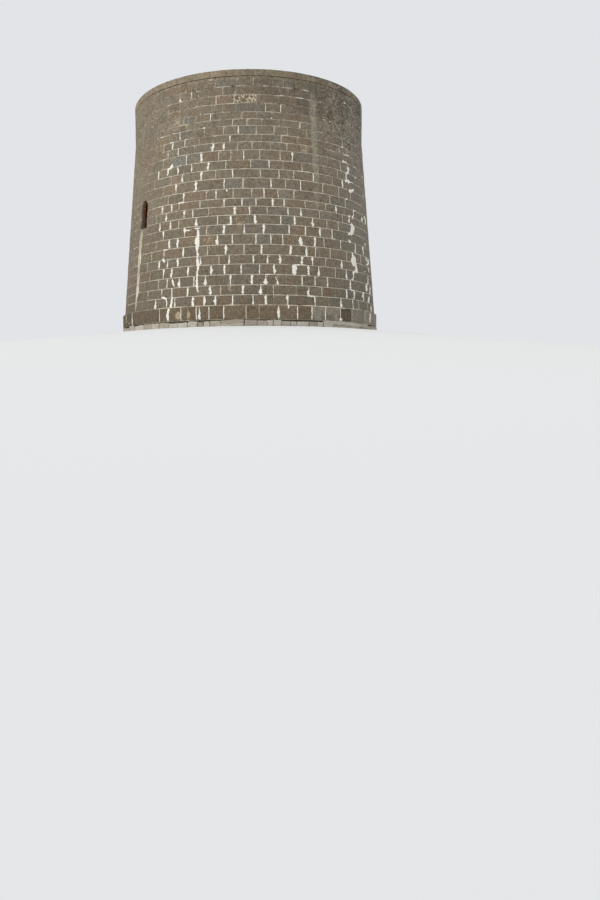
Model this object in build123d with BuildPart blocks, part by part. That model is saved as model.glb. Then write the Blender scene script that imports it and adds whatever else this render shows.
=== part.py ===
"""Martello tower: a squat, round gun tower of coursed ashlar on a projecting plinth.

The tower stands on Z = 0 with its axis on the Z axis. North is +Y, where the raised doorway is.
The two slit windows face west (-X) and east (+X). All sizes are in millimetres.
"""
import os
from math import cos, radians, sin

from build123d import *

os.makedirs("parts", exist_ok=True)

# Foot of the tower
footing_height = 290
footing_projection = 60
plinth_height = 600
plinth_projection = 100

# Round plan
wall_foot_radius = 6400
wall_head_radius = 5700
room_radius = 3600
parapet_thickness = 1600

# Storeys, each measured from the one below
ground_storey_height = 3270
floor_thickness = 250
vault_spring_rise = 2740
vault_rise = 1800
vault_cover = 1230
paving_thickness = 150
parapet_height = 1410
coping_height = 385

# Slit windows
slit_width = 600
slit_height = 1310
slit_sill_rise = 1215
slit_reveal_depth = 80
brick_ring_depth = 110
embrasure_width = 1000

# Raised doorway
door_width = 1000
door_height = 2000
lintel_height = 430
lintel_bearing = 300
lintel_depth = 450
threshold_height = 200
threshold_bearing = 150
threshold_seat = 350
threshold_projection = 120

# Hatch in the upper floor
hatch_size = 800
hatch_distance = 2000

# How the masonry is divided
bay_count = 12
quarter_count = 4
east = 0
north = 90
west = 180

# Levels above the ground
plinth_foot = footing_height
wall_foot = plinth_foot + plinth_height
upper_floor = footing_height + ground_storey_height
vault_spring = upper_floor + vault_spring_rise
vault_crown = vault_spring + vault_rise
wall_head = vault_crown + vault_cover
parapet_head = wall_head + parapet_height
rim = parapet_head + coping_height
slit_sill = upper_floor + slit_sill_rise
slit_crown = slit_sill + slit_height
slit_spring = slit_crown - slit_width / 2
door_head = upper_floor + door_height

# Radii that follow
plinth_radius = wall_foot_radius + plinth_projection
footing_radius = plinth_radius + footing_projection
platform_radius = wall_head_radius - parapet_thickness
vault_radius = (room_radius**2 + vault_rise**2) / (2 * vault_rise)
clear_outside = footing_radius + plinth_radius
bay_angle = 360 / bay_count
quarter_angle = 360 / quarter_count


def face_radius(level):
    """Radius of the battered outer face of the wall at a level."""
    batter = (wall_foot_radius - wall_head_radius) / (wall_head - wall_foot)
    return wall_foot_radius - batter * (level - wall_foot)


# The reveal is cut back to an upright plane, so it is deeper at the sill than at the crown.
reveal_back = face_radius(slit_crown) - slit_reveal_depth
brick_ring_back = reveal_back - brick_ring_depth
lintel_back = face_radius(door_head) - lintel_depth


def outward(angle):
    """Level direction that points out from the tower's axis."""
    return Vector(cos(radians(angle)), sin(radians(angle)), 0)


def radial_plane(angle):
    """Upright plane through the tower's axis: local x runs outwards and local y up."""
    return Plane(origin=(0, 0, 0), x_dir=outward(angle), z_dir=outward(angle - 90))


def facing_plane(angle, distance):
    """Upright plane square to a radius: local x runs along the wall and local y up."""
    return Plane(origin=outward(angle) * distance, x_dir=outward(angle + 90), z_dir=outward(angle))


def turned_segment(outline, start, sweep):
    """Turn an upright outline of (radius, level) points about the tower's axis."""
    with BuildPart() as segment:
        with BuildSketch(radial_plane(start)):
            with BuildLine():
                Polyline(outline, close=True)
            make_face()
        revolve(axis=Axis.Z, revolution_arc=sweep)
    return segment.part


def ring_outline(inner, outer, bottom, top):
    """Upright outline of a plain ring."""
    return [(inner, bottom), (outer, bottom), (outer, top), (inner, top)]


def wall_segment(start, sweep, bottom, top):
    """A slice of the battered wall, as thick as the real one."""
    outline = [
        (room_radius, bottom),
        (face_radius(bottom), bottom),
        (face_radius(top), top),
        (room_radius, top),
    ]
    return turned_segment(outline, start, sweep)


def arched_passage(angle, width, bottom, spring, inner, outer):
    """A passage with a half-round head, level and square to the wall, from one radius to another."""
    with BuildPart() as passage:
        with BuildSketch(facing_plane(angle, inner)):
            with BuildLine():
                Polyline((width / 2, spring), (width / 2, bottom), (-width / 2, bottom), (-width / 2, spring))
                ThreePointArc((-width / 2, spring), (0, spring + width / 2), (width / 2, spring))
            make_face()
        extrude(amount=outer - inner)
    return passage.part


def square_passage(angle, width, bottom, top, inner, outer):
    """A passage with a flat head, level and square to the wall, from one radius to another."""
    with BuildPart() as passage:
        with BuildSketch(facing_plane(angle, inner)):
            with Locations((0, (bottom + top) / 2)):
                Rectangle(width, top - bottom)
        extrude(amount=outer - inner)
    return passage.part


def keep(piece, label):
    """Name a finished piece and write it."""
    piece.part.label = label
    export_step(piece.part, f"parts/{label}.step")


# Footing stones: a rough ring that the plinth stands on
with BuildPart() as footing_course:
    add(turned_segment(ring_outline(room_radius, footing_radius, 0, plinth_foot), east, 360))
keep(footing_course, "footing_course")

# Flagged floor of the store
with BuildPart() as ground_floor:
    with BuildSketch(Plane.XY):
        Circle(room_radius)
    extrude(amount=footing_height)
keep(ground_floor, "ground_floor")

# Plinth, in quarters that meet between the compass points
for quarter in range(quarter_count):
    with BuildPart() as plinth:
        quarter_start = (quarter - 0.5) * quarter_angle
        add(turned_segment(ring_outline(room_radius, plinth_radius, plinth_foot, wall_foot),
                           quarter_start, quarter_angle))
    keep(plinth, f"plinth_{quarter + 1}")

# Plain bays of the wall, from the plinth to the gun platform
plain_bays = 0
for bay in range(bay_count):
    bay_centre = bay * bay_angle
    if bay_centre in (east, north, west):
        continue
    plain_bays += 1
    with BuildPart() as wall_bay:
        add(wall_segment(bay_centre - bay_angle / 2, bay_angle, wall_foot, wall_head))
    keep(wall_bay, f"wall_bay_{plain_bays}")

# Slit window bays: the wall is parted below, beside and over the slit
for side, centre in (("east", east), ("west", west)):
    slit = arched_passage(centre, slit_width, slit_sill, slit_spring, reveal_back, clear_outside)
    embrasure = arched_passage(centre, embrasure_width, slit_sill, slit_spring, 0, reveal_back)

    with BuildPart() as wall_under_slit:
        add(wall_segment(centre - bay_angle / 2, bay_angle, wall_foot, slit_sill))
    keep(wall_under_slit, f"wall_under_{side}_slit")

    for turn in (-1, 1):
        # Going round by the right-hand rule leads from east to north and from west to south.
        beside = "north" if (turn > 0) == (side == "east") else "south"
        with BuildPart() as wall_beside_slit:
            jamb_start = centre - bay_angle / 2 if turn < 0 else centre
            add(wall_segment(jamb_start, bay_angle / 2, slit_sill, slit_spring))
            add(slit, mode=Mode.SUBTRACT)
            add(embrasure, mode=Mode.SUBTRACT)
        keep(wall_beside_slit, f"wall_{beside}_of_{side}_slit")

    with BuildPart() as wall_over_slit:
        add(wall_segment(centre - bay_angle / 2, bay_angle, slit_spring, wall_head))
        add(slit, mode=Mode.SUBTRACT)
        add(embrasure, mode=Mode.SUBTRACT)
    keep(wall_over_slit, f"wall_over_{side}_slit")

    with BuildPart() as brick_ring:
        add(arched_passage(centre, embrasure_width, slit_sill, slit_spring, brick_ring_back, reveal_back))
        add(arched_passage(centre, slit_width, slit_sill, slit_spring, brick_ring_back, reveal_back),
            mode=Mode.SUBTRACT)
    keep(brick_ring, f"{side}_slit_brick_ring")

# Doorway bay: a straight passage under a lintel, and a barrel arch behind the lintel
doorway = square_passage(north, door_width, upper_floor, door_head, 0, clear_outside)
door_vault = arched_passage(north, door_width, upper_floor, door_head, 0, lintel_back)
lintel_room = square_passage(north, door_width + 2 * lintel_bearing, door_head, door_head + lintel_height,
                             lintel_back, clear_outside)
threshold_back = face_radius(upper_floor) - threshold_seat
threshold_front = face_radius(upper_floor) + threshold_projection
threshold_slab = square_passage(north, door_width + 2 * threshold_bearing,
                                upper_floor - threshold_height, upper_floor,
                                threshold_back, threshold_front)

with BuildPart() as wall_under_door:
    add(wall_segment(north - bay_angle / 2, bay_angle, wall_foot, upper_floor))
    add(threshold_slab, mode=Mode.SUBTRACT)
keep(wall_under_door, "wall_under_door")

for beside, jamb_start in (("east", north - bay_angle / 2), ("west", north)):
    with BuildPart() as wall_beside_door:
        add(wall_segment(jamb_start, bay_angle / 2, upper_floor, door_head))
        add(doorway, mode=Mode.SUBTRACT)
    keep(wall_beside_door, f"wall_{beside}_of_door")

with BuildPart() as wall_over_door:
    add(wall_segment(north - bay_angle / 2, bay_angle, door_head, wall_head))
    add(door_vault, mode=Mode.SUBTRACT)
    add(lintel_room, mode=Mode.SUBTRACT)
keep(wall_over_door, "wall_over_door")

with BuildPart() as door_lintel:
    add(wall_segment(north - bay_angle / 2, bay_angle, door_head, door_head + lintel_height))
    add(lintel_room, mode=Mode.INTERSECT)
keep(door_lintel, "door_lintel")

with BuildPart() as door_threshold:
    add(threshold_slab)
keep(door_threshold, "door_threshold")

# Plank floor of the upper room, with the hatch that leads down to the store
with BuildPart() as upper_room_floor:
    with BuildSketch(Plane.XY.offset(upper_floor)):
        Circle(room_radius)
        with Locations((0, -hatch_distance)):
            Rectangle(hatch_size, hatch_size, mode=Mode.SUBTRACT)
    extrude(amount=-floor_thickness)
keep(upper_room_floor, "upper_room_floor")

# Vault over the upper room: a shallow dome below, level on top
with BuildPart() as vault:
    with BuildSketch(radial_plane(east)):
        with BuildLine():
            Polyline((room_radius, vault_spring), (room_radius, wall_head), (0, wall_head), (0, vault_crown))
            RadiusArc((0, vault_crown), (room_radius, vault_spring), vault_radius)
        make_face()
    revolve(axis=Axis.Z, revolution_arc=360)
keep(vault, "vault")

# Paving of the gun platform, inside the parapet
with BuildPart() as gun_platform:
    with BuildSketch(Plane.XY.offset(wall_head)):
        Circle(platform_radius)
    extrude(amount=paving_thickness)
keep(gun_platform, "gun_platform")

# Parapet and its coping, in quarters
for quarter in range(quarter_count):
    quarter_start = (quarter - 0.5) * quarter_angle
    with BuildPart() as parapet:
        add(turned_segment(ring_outline(platform_radius, wall_head_radius, wall_head, parapet_head),
                           quarter_start, quarter_angle))
    keep(parapet, f"parapet_{quarter + 1}")

    with BuildPart() as coping:
        add(turned_segment(ring_outline(platform_radius, wall_head_radius, parapet_head, rim),
                           quarter_start, quarter_angle))
    keep(coping, f"coping_{quarter + 1}")
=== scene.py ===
"""Looks of the martello tower: its stones, bricks and lime, their finishes, the light and the camera.

Everything is in metres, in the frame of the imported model. The wall is laid out flat first: x runs round
the tower from the middle of the front, y is the height, and z stands out from the wall. Then it is wrapped.
"""
import random
from math import asin, ceil, cos, degrees, hypot, pi, radians, sin

import bmesh
import bpy
from bmesh.types import BMEdge, BMFace, BMVert
from mathutils import Matrix, Vector, noise


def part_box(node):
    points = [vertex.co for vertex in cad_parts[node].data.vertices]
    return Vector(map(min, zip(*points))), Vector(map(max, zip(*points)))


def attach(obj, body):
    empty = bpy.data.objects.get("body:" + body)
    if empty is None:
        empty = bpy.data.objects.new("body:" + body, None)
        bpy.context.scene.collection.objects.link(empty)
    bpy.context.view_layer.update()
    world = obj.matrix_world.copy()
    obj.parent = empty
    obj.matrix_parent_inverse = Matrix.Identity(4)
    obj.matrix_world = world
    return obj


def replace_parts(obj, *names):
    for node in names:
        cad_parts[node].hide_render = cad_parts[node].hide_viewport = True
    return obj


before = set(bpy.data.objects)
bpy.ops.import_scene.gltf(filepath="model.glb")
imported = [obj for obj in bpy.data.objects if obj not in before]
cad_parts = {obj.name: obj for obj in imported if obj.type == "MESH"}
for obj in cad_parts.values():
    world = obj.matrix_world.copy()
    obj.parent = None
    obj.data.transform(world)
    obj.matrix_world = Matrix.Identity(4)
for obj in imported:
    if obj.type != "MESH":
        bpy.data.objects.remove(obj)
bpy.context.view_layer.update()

# The tower's levels and radii

FRONT = radians(-125.2)  # direction of the middle of the front, counter-clockwise from +X
LAYOUT_RADIUS = 6.0  # the flat layout is wrapped round this radius
PLINTH_RADIUS = 6.50
FOOTING_RADIUS = 6.56
WALL_FOOT_RADIUS = 6.40
WALL_HEAD_RADIUS = 5.70
PLATFORM_RADIUS = 4.10
WALL_FOOT = 0.89
WALL_HEAD = 9.33
DECK = 9.48
PARAPET_HEAD = 10.74

# Bed joints, from the foot of the plinth up to the rim
BEDS = [0.290, 0.892, 1.359, 1.788, 2.245, 2.703, 3.103, 3.557, 4.005, 4.434, 4.837, 5.212, 5.564, 5.989,
        6.444, 6.837, 7.224, 7.669, 8.018, 8.341, 8.722, 9.013, 9.327, 9.685, 10.044, 10.408, 10.741, 11.125]
RIM = BEDS[27]

# Upright joints of each course in degrees round from the middle of the front, plinth first. The letter
# says how much lime stands on the joint: w broad, b broad low down, t broad at the top, c broad in the
# middle, v narrow, u narrow with a thicker foot, d narrow and dull, m a well filled joint, f hardly any.
# A capital says the same of lime where there is no joint.
UPRIGHTS = [
    "-68f -59.7b -53f -48.2f -39.2m -34.7f -28.2m -25f -21.3V -20.6f -19.9B -16v -10.15v -1.4m 3.6f 11.1c "
    "18.95v 25.15v 31.5u 39.4v 46.6d 57.3d 63f 71f",
    "-52.3f -42.7b -36.2f -33.7f -31.8u -23.35w -18.2c -13.6c -6.75v 1.3u 6.4w 9.5f 15.2t 27.15f 34.2f 40.8b "
    "48.85v 53.55d 63d",
    "-48m -39f -33.6v -25.8w -15.8w -11.6d -2.55w 4.45b 9.45d 18.9f 24.6f 30.8d 37.75f 44.8w 50.4f 58.3f 66f",
    "-41.3d -36.3v -30b -23v -18b -7.65t 0.85w 6.5b 11f 14.75f 21.65v 27.6v 33.9u 41.9f 47.8f 63f 68.5f",
    "-47.3d -38.6t -34w -25.8c -15.5c -10.1w -3.3v 4.05u 9.95w 18.2f 24.7w 29.7b 38.5d 45.4b 50.6f 58.75f "
    "66.5f",
    "-49.65m -41.3c -36.4u -31.2w -20.6f -12.4d -8.2u 1.55v 7.4u 12.4c 21.9w 26.8t 33.3d 42.7b 53.4f 68.5f",
    "-46.7d -38.8v -28.4c -21.8f -17.3d -9.6w -2.15m 4.75w 17w 24.1b 28.4m 36.1d 46.2d 51.3f 58.5d 66.5f 70f",
    "-44.1d -36.1w -31.5w -22f -13.2b -6.9v 2.7v 8.85v 13.8v 21.6f 28.4w 33.1d 42.7v 54f 62.4f",
    "-39.7t -28.05t -21.85f -17.9d -10.4w -2.05u 5.95w 16.6v 24.1v 31.2c 37.85v 48.9f 58.1f 66.5f",
    "-42b -35.7c -31.3d -22.6b -13.2m -7.6w 2.4w 13.2v 19.15w 27.6b 35.1d 41.9d 52.6f",
    "-44.5d -38.4b -28.6t -24.4v -17.05d -5.9w 0.15v 7.5d 16.4v 22.2u 31.3d 44.9d 50.2f",
    "-41c -35.4w -31.4d -21.1m -10.5v -2.9v 2.9v 9.8w 14.75v 24.4d 35d 41.1c 54.25f 63.5f",
    "-45.2f -37.6d -29.2t -18.3d -14v -6.65d 1d 6.25v 12.25d 19.3m 29.5f 37.6d 47.8d 56.7f",
    "-41d -33.3t -23.3w -10.5v -2.5v 9.3v 15.6d 22.6v 33.75d 43.6d 52.6d",
    "-47.3d -36.3d -30.2b -20.8w -14.3d -6.9v 4.8d 12.85v 19.5d 29v 39.7d 46.6c",
    "-44.5w -38.5f -32.7c -25.5v -17.6w -9.9d 0.8d 8.6v 23.5d 31f 43.4d 50f",
    "-41.8d -36.2f -28.3v -21.05w -13d -7.7d -2.15u 4.7d 13.6d 19.1t 31f 37.5f 45.8d 52.2f",
    "-38.9v -32.9v -24.5f -15.8f -10.7c -4.8d 1.4m 9.3f 16.7d 28.3f 37f 48.9f",
    "-41.9d -36.2c -29.4v -22.2d -8.1v 14.3d 21.65f 31.3f 36.2f 45.65d 51.6d",
    "-38.3d -32.2u -25.9f -19.8d -11.1d -4.4u 3.4d 11.1d 17.3d 26.6d 33.4f 42.6f 48.5d",
    "-43f -35.1f -29.2f -22.5f -13f -7.05d -0.75m 5.85f 13.8f 23.3v 40.1f",
    "-30.3m -24.1m -17v -2.9m 3.3f 10.1f 19.5f 26.6f",
    "-33.1f -23.7f -15.1f -11.5f -5.5f 7.5m 14.4v 24.6f 39.2f",
    "-39f -32.7f -23f -14.4m -6.4f 3.6f 13.3f 20.8f 33.9f",
    "-43.7f -32.3f -26.1v -23.1f -11.3m -5.7f 6.5f 17.9f 24.5m 38.1f 45.4f 52f",
    "-40.4f -29.2f -23.8m -19.1m -14.7f 2.2m 10.55f 15.7f",
]

# Lime that has run along a bed joint: the joint's number, where it starts and ends in degrees, and its width
BED_RUNS = [(1, 29, 46.5, 0.035), (1, 53, 55.5, 0.035), (1, 60.5, 63.5, 0.05), (1, -54.2, -52.4, 0.045),
            (3, 4, 6.2, 0.04), (4, 6.4, 9.7, 0.04), (4, 21, 23.8, 0.035), (5, 18.4, 23.6, 0.05),
            (6, 19.1, 20, 0.05), (6, 22.5, 25, 0.05), (7, -39, -36.5, 0.06), (7, 13.2, 14.6, 0.04),
            (7, 21, 23.8, 0.04), (8, 37.8, 39.3, 0.06), (9, -9, -7, 0.05), (12, -45, -37, 0.035),
            (12, -32, -28.5, 0.06), (13, -24.5, -23.2, 0.05), (15, 20.3, 28.1, 0.03),
            (16, -31.8, -30.8, 0.05), (17, -42.2, -41, 0.05), (19, -38, -35.6, 0.05),
            (19, -29.5, -27.4, 0.04), (19, 47, 49, 0.06), (20, -44.5, -42.4, 0.04),
            (20, -36.6, -34.7, 0.04), (20, -20.6, -19.4, 0.05), (20, 47, 49, 0.03), (22, 36, 37.1, 0.05),
            (22, 40, 41, 0.04), (22, 47, 48.6, 0.03), (23, -21, -18.3, 0.03), (24, 13.3, 16.2, 0.035),
            (24, 21.2, 25.6, 0.035), (24, 33.9, 34.8, 0.04), (25, -14, -12, 0.03),
            (25, -5.8, -1.4, 0.02), (25, 6.5, 9.3, 0.03), (25, 25.1, 28, 0.04), (25, 50.5, 52, 0.05),
            (26, -17.5, -16, 0.03)]

# Long runs: the degrees, height and width at points along each. A run takes one line, and goes on to the
# next one where its line ends with a comma.
LONG_RUNS = """
-21.8 4.33 .08, -21.7 4.20 .13, -21.8 4.03 .12, -22.0 3.86 .24, -22.1 3.70 .22, -21.9 3.55 .15, -21.8 3.30 .13
-21.8 3.34 .13, -21.7 3.05 .11, -21.5 2.85 .12, -21.3 2.75 .15, -21.5 2.60 .11, -21.6 2.35 .10, -21.7 2.06 .12
-21.7 2.14 .12, -21.6 1.90 .11, -21.6 1.75 .12, -21.2 1.60 .08, -21.0 1.50 .05
-20.6 3.08 .02, -20.3 2.95 .04, -20.1 2.80 .07, -20.7 2.73 .08
-27.4 4.29 .07, -25.5 4.30 .07
-25.2 4.31 .05, -24.7 4.30 .05
-23.4 4.34 .06, -20.7 4.35 .06
-33.0 1.40 .14, -33.5 1.20 .12, -33.8 0.97 .13, -34.3 0.80 .14, -34.7 0.60 .15, -34.7 0.42 .17, -34.4 0.31 .18
-39.1 1.78 .09, -39.0 1.70 .05, -39.1 1.50 .04
-39.2 1.44 .10, -37.6 1.38 .10, -36.4 1.32 .08, -35.9 1.16 .09, -36.2 0.95 .05
-39.6 3.17 .08, -38.8 3.08 .12, -38.0 3.00 .08
-33.6 2.22 .08, -33.2 2.05 .10, -32.7 1.92 .07, -32.3 1.82 .03
-36.2 7.38 .12, -36.3 7.27 .15, -37.4 7.17 .10, -38.6 7.14 .10, -38.5 7.02 .08, -38.9 6.90 .11
-15.5 8.00 .09, -15.4 7.85 .11, -15.9 7.78 .08, -16.0 7.64 .09
-16.6 7.86 .07, -16.2 7.82 .06
-9.4 5.97 .08, -9.2 5.87 .11
-32.4 10.20 .05, -32.3 10.10 .10, -32.3 10.05 .20
-23.4 10.39 .05, -23.4 10.32 .05
-23.0 10.17 .05, -22.6 10.10 .05
-21.9 9.41 .05, -21.9 9.34 .06
10.1 9.08 .09, 10.1 9.01 .08
18.5 2.70 .24, 18.3 2.55 .25, 18.3 2.40 .20, 18.4 2.25 .17
24.6 1.76 .04, 24.5 1.60 .06, 24.1 1.50 .14, 24.3 1.39 .14, 25.2 1.34 .07, 27.0 1.35 .06, 27.2 1.20 .06,
27.2 0.92 .05
10.4 2.16 .03, 11.0 1.98 .04, 11.4 1.85 .10, 11.5 1.79 .08
39.4 0.45 .10, 39.5 0.38 .22, 39.5 0.31 .27
21.5 3.95 .08, 21.6 3.85 .14, 21.6 3.65 .17, 21.8 3.57 .16
15.2 0.95 .08, 15.2 0.84 .07, 15.2 0.74 .05
48.5 8.01 .03, 53.8 8.06 .04
47.3 7.68 .05, 51.5 7.68 .06
57.5 7.66 .04, 61.0 7.66 .04
52.0 7.56 .10, 52.1 7.45 .15, 52.1 7.32 .12, 51.6 7.24 .10, 49.3 7.17 .05
50.1 7.16 .05, 49.9 6.98 .05, 50.0 6.86 .06
48.3 6.83 .06, 50.2 6.83 .14, 52.0 6.84 .12, 52.6 6.84 .04, 56.0 6.87 .04
59.0 7.22 .14, 59.4 7.14 .16
56.3 6.57 .08, 54.8 6.50 .10, 52.6 6.40 .12, 52.8 6.30 .05
48.2 5.95 .06, 49.7 6.03 .08
57.0 5.60 .03, 54.6 5.55 .06, 54.2 5.42 .09, 54.2 5.34 .09, 53.2 5.20 .08, 52.9 5.10 .08
51.3 5.24 .04, 50.2 5.22 .08, 50.1 5.05 .08, 50.2 4.89 .09
50.6 4.86 .08, 51.8 4.78 .16, 52.8 4.80 .26, 52.7 4.66 .22, 52.3 4.55 .22, 51.6 4.44 .16, 49.8 4.40 .12,
48.4 4.34 .10
48.4 4.05 .07, 50.4 4.04 .09
54.1 4.00 .07, 53.9 3.75 .09, 53.6 3.60 .08, 52.9 3.57 .04
51.0 3.55 .12, 51.2 3.42 .14, 51.5 3.30 .26, 51.6 3.17 .42, 53.2 3.05 .16, 53.4 2.88 .14, 53.5 2.78 .22,
52.2 2.68 .20
52.2 2.68 .20, 50.8 2.60 .10, 50.8 2.50 .07, 50.2 2.30 .07, 48.6 2.27 .04
48.0 2.24 .07, 47.7 2.00 .08, 47.7 1.84 .09, 48.4 1.78 .06, 50.6 1.78 .06, 50.5 1.65 .09, 50.4 1.50 .08,
49.2 1.38 .05
62.2 4.02 .18, 62.3 3.85 .26, 62.3 3.62 .16
66.3 4.22 .16, 66.1 4.10 .22
61.0 2.80 .04, 63.5 2.82 .05
62.8 5.26 .08, 64.2 5.32 .14, 65.3 5.36 .06
67.5 5.50 .10, 70.0 5.50 .18, 70.5 5.35 .26, 69.2 5.27 .10
65.3 3.50 .14, 67.0 3.46 .14
64.8 3.20 .05, 68.0 3.24 .10, 70.0 3.40 .30, 71.5 3.30 .20
69.2 3.12 .12, 68.4 2.98 .12, 70.5 2.93 .08
66.8 2.65 .10, 66.6 2.45 .14, 66.2 2.32 .16, 64.8 2.27 .05
63.2 2.26 .10, 63.2 2.15 .26, 63.3 2.00 .28, 63.4 1.87 .14
69.5 2.18 .22, 69.6 2.05 .26, 68.6 1.88 .16, 67.4 1.80 .10
60.4 1.79 .04, 58.8 1.76 .10, 58.4 1.62 .14, 58.3 1.48 .16, 58.4 1.38 .10
67.2 1.70 .12, 66.3 1.57 .20, 65.2 1.45 .17, 64.0 1.39 .07
69.2 1.28 .08, 68.7 1.13 .13, 68.3 1.02 .17, 67.8 0.94 .14
63.4 0.84 .14, 63.3 0.62 .18, 63.1 0.40 .16
"""

# Duller runs, such as the wash below a slit, in the same form
WASH = """
-56.2 4.76 .08, -56.7 4.60 .18, -57.5 4.30 .22, -57.4 3.90 .20, -57.7 3.50 .22, -57.6 3.00 .20, -57.9 2.50 .22
-57.9 2.60 .22, -57.6 2.20 .19, -58.0 1.80 .22, -58.3 1.50 .16, -58.1 1.20 .17, -58.4 0.92 .15
-55.4 4.76 .12, -55.8 4.55 .20, -56.2 4.20 .20, -56.6 3.80 .17, -56.3 3.30 .19, -56.7 2.90 .14, -56.5 2.60 .17
-56.5 2.66 .17, -56.8 2.30 .14, -56.6 1.95 .18, -57.1 1.70 .15, -57.5 1.50 .08
"""
DULL_RUNS = """
69.5 7.55 .20, 70.8 7.42 .20
68.4 6.55 .08, 70.5 6.58 .12
-68.6 0.86 .14, -68.6 0.62 .20, -68.5 0.45 .14
-64.6 0.42 .06, -62.6 0.43 .07
"""

SLIT_SILL_BED = 10
SLIT_SPRING = 5.785
SLIT_HALF_WIDTH = 0.30
SLIT_REVEAL = 0.27
INTO_OPENING = 0.005  # how far the stones beside an opening reach into it
brick_low, brick_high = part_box("east_slit_brick_ring")
SLIT_SILL = brick_low.z
SLIT_REVEAL_BACK = brick_high.x + 0.002  # distance from the axis of the upright plane that the reveal ends at
DOOR_BEDS = (7, 12)
DOOR_HALF_WIDTH = 0.50
LINTEL_HALF_LENGTH = 0.80
SLITS = {"west": -180 - degrees(FRONT), "east": -degrees(FRONT)}  # degrees round from the middle of the front
OPENINGS = {**SLITS, "door": -270 - degrees(FRONT)}

JOINT = 0.019  # width of a mortar joint
TIGHT_JOINT = 0.009  # width of an upright joint that shows hardly any lime
COPING_JOINT = 10.825  # height of the open joint under the coping stones
PROUD = 0.007  # how far a stone stands out of the mortar
SUNK = 0.020  # how far a facing stone goes back into the wall
PLINTH_STONE_DEPTH = 0.13
FOOTING_STONE_DEPTH = 0.26
SLAB_TOP = 0.272  # height of the footing's flat slabs
COPING_GAP = 0.012  # half the height of the open joint under the coping stones
FLAG_GAP = 0.007  # half the width of a joint between the platform's flags
FLAG_RINGS = [0.36, 0.90, 1.44, 1.98, 2.52, 3.06, 3.58, 4.07]  # radii between the rings of flags
LINING_LEVELS = [DECK + 0.005, 9.90, 10.32, PARAPET_HEAD - 0.004]  # beds of the parapet's inner stones
FULL_TURN = 2 * pi * LAYOUT_RADIUS  # length of the flat layout

chance = random.Random(1804)


def face_radius(height):
    """Radius of the wall's face at a height."""
    if height <= WALL_FOOT:
        return PLINTH_RADIUS
    climbed = min((height - WALL_FOOT) / (WALL_HEAD - WALL_FOOT), 1)
    return WALL_FOOT_RADIUS + (WALL_HEAD_RADIUS - WALL_FOOT_RADIUS) * climbed


def layout_x(angle):
    """Place in the flat layout of an angle, in degrees round from the middle of the front."""
    return radians(angle) * LAYOUT_RADIUS


def layout_half(half_width, height):
    """Half the width in the layout of an opening that is straight through the wall."""
    return asin(half_width / face_radius(height)) * LAYOUT_RADIUS


def around(x, radius, height):
    """The point at a place in the flat layout, at a radius and a height."""
    angle = FRONT + x / LAYOUT_RADIUS
    return Vector((radius * cos(angle), radius * sin(angle), height))


def on_wall(x, y, z):
    """Wraps a point of the flat layout round the wall."""
    return around(x, face_radius(y) + z, y)


def on_plinth(x, y, z):
    """Wraps a point of the flat layout round the plinth."""
    return around(x, PLINTH_RADIUS + z, y)


def on_footing(x, y, z):
    """Wraps a point of the flat layout round the footing."""
    return around(x, FOOTING_RADIUS + z, y)


def in_parapet(x, y, z):
    """Wraps a point of the flat layout round the parapet's inner face."""
    return around(-x, PLATFORM_RADIUS - z, y)


def on_deck(x, y, z):
    """Bends a strip of the flat layout into a ring on the gun platform: -y is the radius."""
    return around(x, -y, DECK + z)


def turn_between(angle, centre=0):
    """Degrees from one angle to another by the short way, from -180 to 180."""
    return (angle - centre + 180) % 360 - 180


# Making pieces

def new_mesh():
    """An empty bmesh, and the layer that tells one stone from the next."""
    bm = bmesh.new()
    return bm, bm.verts.layers.float_color.new("stone")


def random_stone():
    """Shade, tint, edge and lift of one stone. The edge value is set later."""
    return (chance.random(), chance.random(), 0.0, chance.random())


def colour_verts(verts, layer, stone):
    for vert in verts:
        vert[layer] = stone


def only(kind, geometry):
    """The vertices, edges or faces among the geometry that an operator gives back."""
    return [g for g in geometry if isinstance(g, kind)]


def bevelled(bm, edges, width, segments=2):
    """Rounds edges off, and gives back the vertices there."""
    return bmesh.ops.bevel(bm, geom=edges, offset=width, offset_type="OFFSET", segments=segments, profile=0.5,
                           affect="EDGES", material=-1, clamp_overlap=True)["verts"]


def mark_edges(verts, layer):
    """Sets the edge value of the stones at their rounded edges."""
    for vert in verts:
        shade, tint, _, lift = vert[layer]
        vert[layer] = (shade, tint, 1.0, lift)


def grid_stone(bm, layer, left, right, low, high, back=-SUNK, spacing=0.13, stone=None):
    """The back of one squared stone: a flat grid, to be pulled forward with the rest."""
    size = Matrix.Diagonal((right - left, high - low, 1, 1))
    place = Matrix.Translation(((left + right) / 2, (low + high) / 2, back))
    made = bmesh.ops.create_grid(bm, x_segments=max(3, round((right - left) / spacing)),
                                 y_segments=max(3, round((high - low) / spacing)), size=0.5,
                                 matrix=place @ size)
    colour_verts(made["verts"], layer, stone or random_stone())


def slit_stone(bm, layer, centre, outline, cuts=5):
    """The back of one stone that is cut to fit a slit, with its outline about the slit's middle.

    Upright and level cuts part it, so that it can follow the wall.
    """
    outline = [(layout_x(centre) + x, y) for x, y in outline]
    face = bm.faces.new([bm.verts.new((x, y, -SLIT_REVEAL)) for x, y in outline])
    pieces = [face, *face.edges, *face.verts]
    for way, count in ((Vector((1, 0, 0)), cuts), (Vector((0, 1, 0)), 4)):
        reaches = [way.dot((x, y, 0)) for x, y in outline]
        for cut in range(1, count):
            where = min(reaches) + (max(reaches) - min(reaches)) * cut / count
            made = bmesh.ops.bisect_plane(bm, geom=pieces, dist=1e-5, plane_co=way * where, plane_no=way)
            pieces = made["geom"]
    colour_verts(only(BMVert, pieces), layer, random_stone())


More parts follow.
